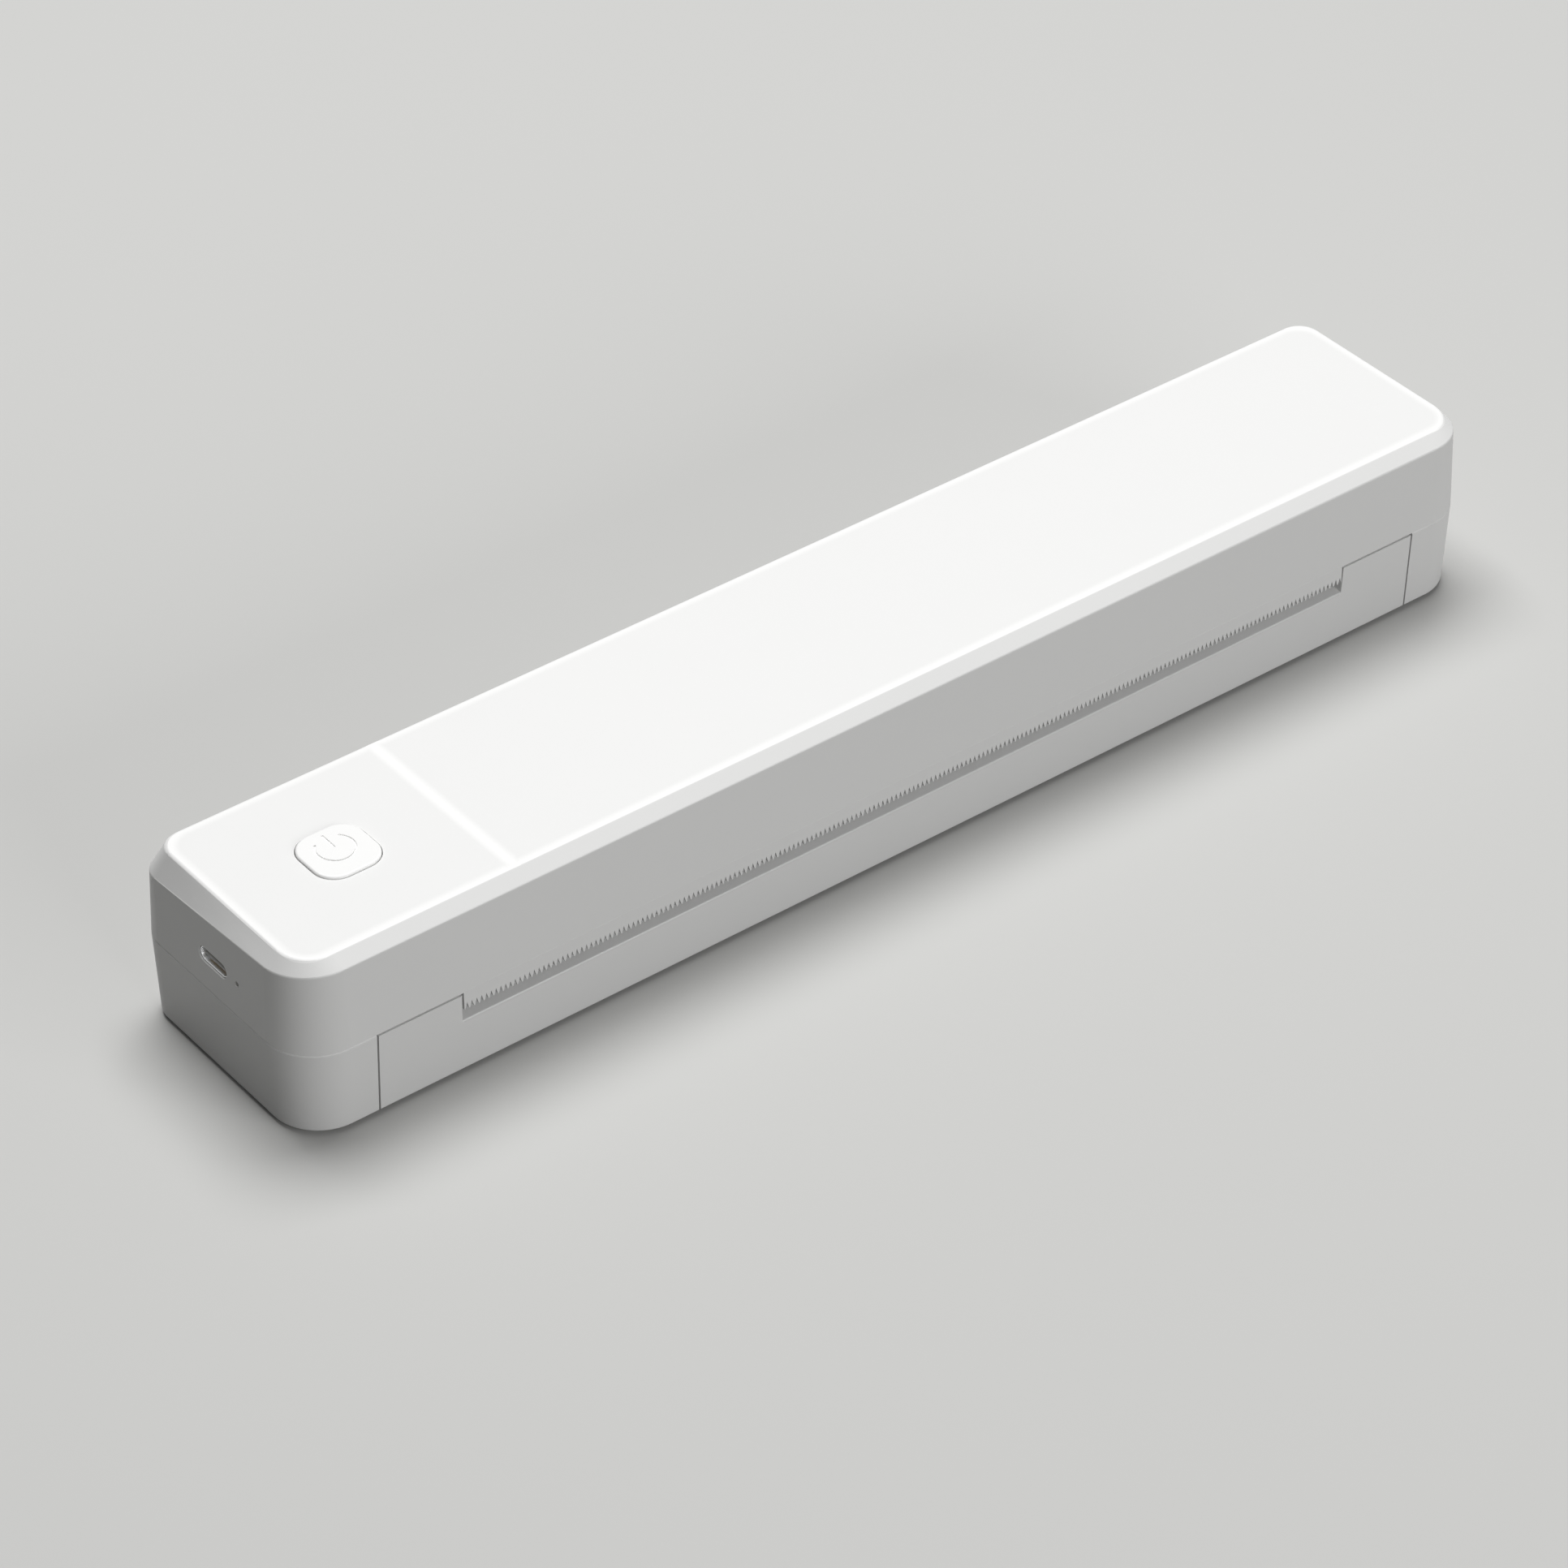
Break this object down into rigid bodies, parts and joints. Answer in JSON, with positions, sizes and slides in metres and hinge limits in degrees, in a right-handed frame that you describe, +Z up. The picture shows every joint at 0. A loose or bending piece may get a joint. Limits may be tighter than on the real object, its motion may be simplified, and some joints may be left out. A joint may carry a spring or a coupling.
{
  "type": "portable thermal printer",
  "caption": "Long low box whose upper housing hinges up at the rear over a tray with a geared platen roller, for printing on heat-sensitive sheets or rolls.",
  "frame": {"origin": "centre of the footprint, on the surface that the feet stand on", "axes": "+X along the length, from the USB end to the gear end; +Y from the paper exit to the rear; +Z up"},
  "size_m": [0.288, 0.0532, 0.04],
  "materials": {
    "shell_white": "fine spark-eroded texture, satin",
    "button_white": "satin",
    "foot_rubber": "matt",
    "platen_rubber": "ground matt",
    "steel": "bright rolled",
    "zinc_screw": "bright zinc plate",
    "heatsink_aluminium": "mill finish",
    "head_ceramic": "glazed",
    "acetal_natural": "satin",
    "acetal_black": "satin",
    "tray_black": "satin",
    "board_green": "solder mask",
    "chip_black": "matt",
    "connector_cream": "satin",
    "flex_amber": "polyimide film",
    "cell_wrap": "shrink sleeve",
    "nickel_strip": "nickel",
    "lead_red": "wire sleeve",
    "cable_grey": "wire sleeve",
    "usb_shell": "bright nickel plate",
    "light_lens": "clear"
  },
  "bodies": {
    "base": {"base_tray": "shell_white", "rubber_feet": "foot_rubber", "paper_guide": "tray_black", "platen_bush_left": "acetal_black", "platen_bush_right": "acetal_black"},
    "platen": {"platen_shaft": "steel", "platen_rubber": "platen_rubber", "platen_gear": "acetal_natural"},
    "housing": {"top_shell": "shell_white", "left_end_cover": "shell_white", "right_end_cover": "shell_white", "case_screws": "zinc_screw", "hinge_pins": "steel", "head_frame": "steel", "frame_screws": "zinc_screw", "gear_studs": "steel", "stepper_motor": "nickel_strip", "motor_screws": "zinc_screw", "head_pivot_rod": "steel", "head_springs": "steel", "head_flex": "flex_amber", "flex_socket": "connector_cream", "inner_cover": "tray_black", "inner_cover_screws": "zinc_screw", "battery_cell_left": "cell_wrap", "battery_cell_right": "cell_wrap", "battery_contacts": "nickel_strip", "battery_leads": "lead_red", "battery_connector": "connector_cream", "paper_sensor": "chip_black", "main_board": "board_green", "board_screws": "zinc_screw", "board_capacitors": "chip_black", "controller_chip": "chip_black", "wireless_module": "nickel_strip", "status_light": "light_lens", "usb_socket": "usb_shell", "reset_switch": "chip_black", "power_switch": "chip_black", "motor_connector": "connector_cream", "motor_cable": "cable_grey"},
    "head": {"head_heatsink": "heatsink_aluminium", "head_ceramic": "head_ceramic", "head_driver_cover": "chip_black", "head_connector": "connector_cream"},
    "idler": {"idler_gear": "acetal_natural"},
    "reduction": {"reduction_gear": "acetal_natural"},
    "rotor": {"motor_pinion": "acetal_natural", "motor_shaft": "steel"},
    "power_key": {"power_button": "button_white", "power_switch_plunger": "acetal_black"},
    "reset_key": {"reset_plunger": "acetal_natural"}
  },
  "joints": [
    {"name": "housing_hinge", "type": "hinge", "parent": "base", "child": "housing", "pos_m": [0, 0.0225, 0.017], "axis": [-1, 0, 0], "range_deg": [0, 65]},
    {"name": "platen_spin", "type": "hinge", "parent": "base", "child": "platen", "pos_m": [0, -0.014, 0.009], "axis": [1, 0, 0], "continuous": true},
    {"name": "idler_spin", "type": "hinge", "parent": "housing", "child": "idler", "pos_m": [0.118, -0.01328, 0.01947], "axis": [1, 0, 0], "continuous": true},
    {"name": "reduction_spin", "type": "hinge", "parent": "housing", "child": "reduction", "pos_m": [0.119, -0.00649, 0.02371], "axis": [1, 0, 0], "continuous": true},
    {"name": "motor_spin", "type": "hinge", "parent": "housing", "child": "rotor", "pos_m": [0.12, 0.00479, 0.02782], "axis": [1, 0, 0], "continuous": true},
    {"name": "head_rock", "type": "hinge", "parent": "housing", "child": "head", "pos_m": [0, -0.003, 0.019], "axis": [-1, 0, 0], "range_deg": [0, 3], "stiffness_Nm_per_rad": 1, "springref_deg": -5.73, "deforming": ["head_springs"]},
    {"name": "power_press", "type": "slide", "parent": "housing", "child": "power_key", "axis": [0, 0, -1], "range_m": [0, 0.0005], "stiffness_N_per_m": 600, "springref_m": -0.0005},
    {"name": "reset_press", "type": "slide", "parent": "housing", "child": "reset_key", "axis": [1, 0, 0], "range_m": [0, 0.00025], "stiffness_N_per_m": 400, "springref_m": -0.0005}
  ],
  "couplings": [
    {"joint": "idler_spin", "follows": "platen_spin", "ratio": -1.1},
    {"joint": "reduction_spin", "follows": "platen_spin", "ratio": 1.8333},
    {"joint": "motor_spin", "follows": "platen_spin", "ratio": -5.5}
  ]
}
